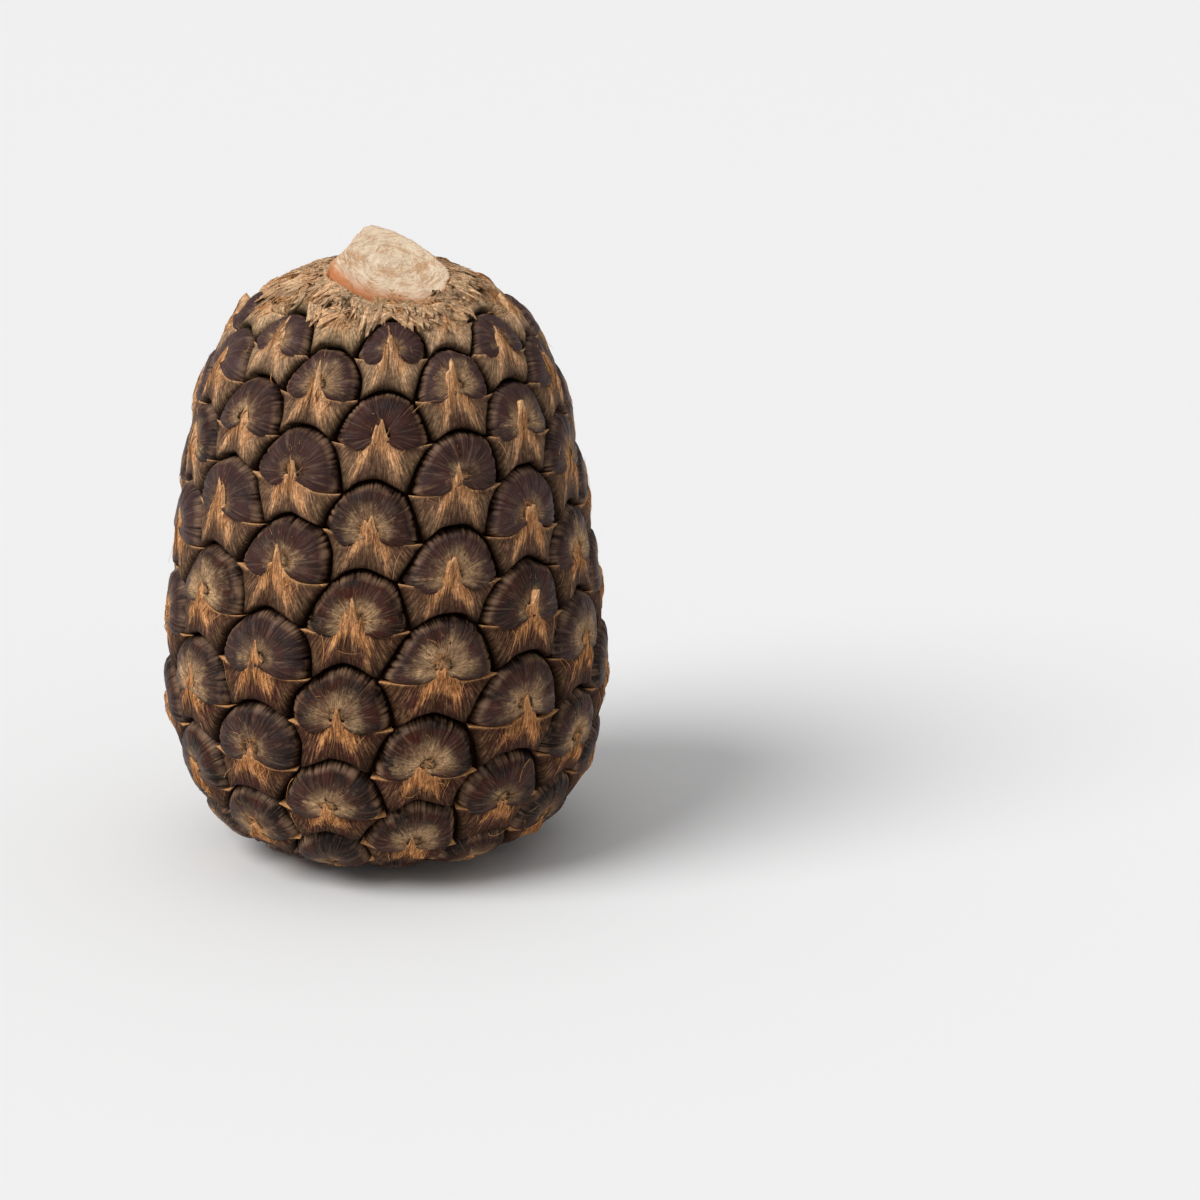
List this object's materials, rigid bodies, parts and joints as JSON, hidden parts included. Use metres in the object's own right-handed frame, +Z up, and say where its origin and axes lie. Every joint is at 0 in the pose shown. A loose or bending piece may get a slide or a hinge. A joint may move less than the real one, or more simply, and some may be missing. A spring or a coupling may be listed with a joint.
{
  "type": "whole pineapple, crown removed",
  "caption": "Whole ripe pineapple with its crown cut off, spiral rows of eyes with bracts, standing on the cut end of its stalk.",
  "frame": {"origin": "on the fruit's axis, where it meets the surface it stands on", "axes": "+Z up the fruit's axis, from the stalk to the crown's base; +X to the right as seen from the side that the crown's cut face looks to; +Y away from that side"},
  "size_m": [0.1203, 0.1212, 0.1702],
  "materials": {
    "rind": "satin",
    "bract": "matte",
    "cut_stem": "matte"
  },
  "bodies": {
    "root": {"fruit": "rind", "crown_base": "cut_stem", "stalk_end": "cut_stem"}
  },
  "joints": []
}
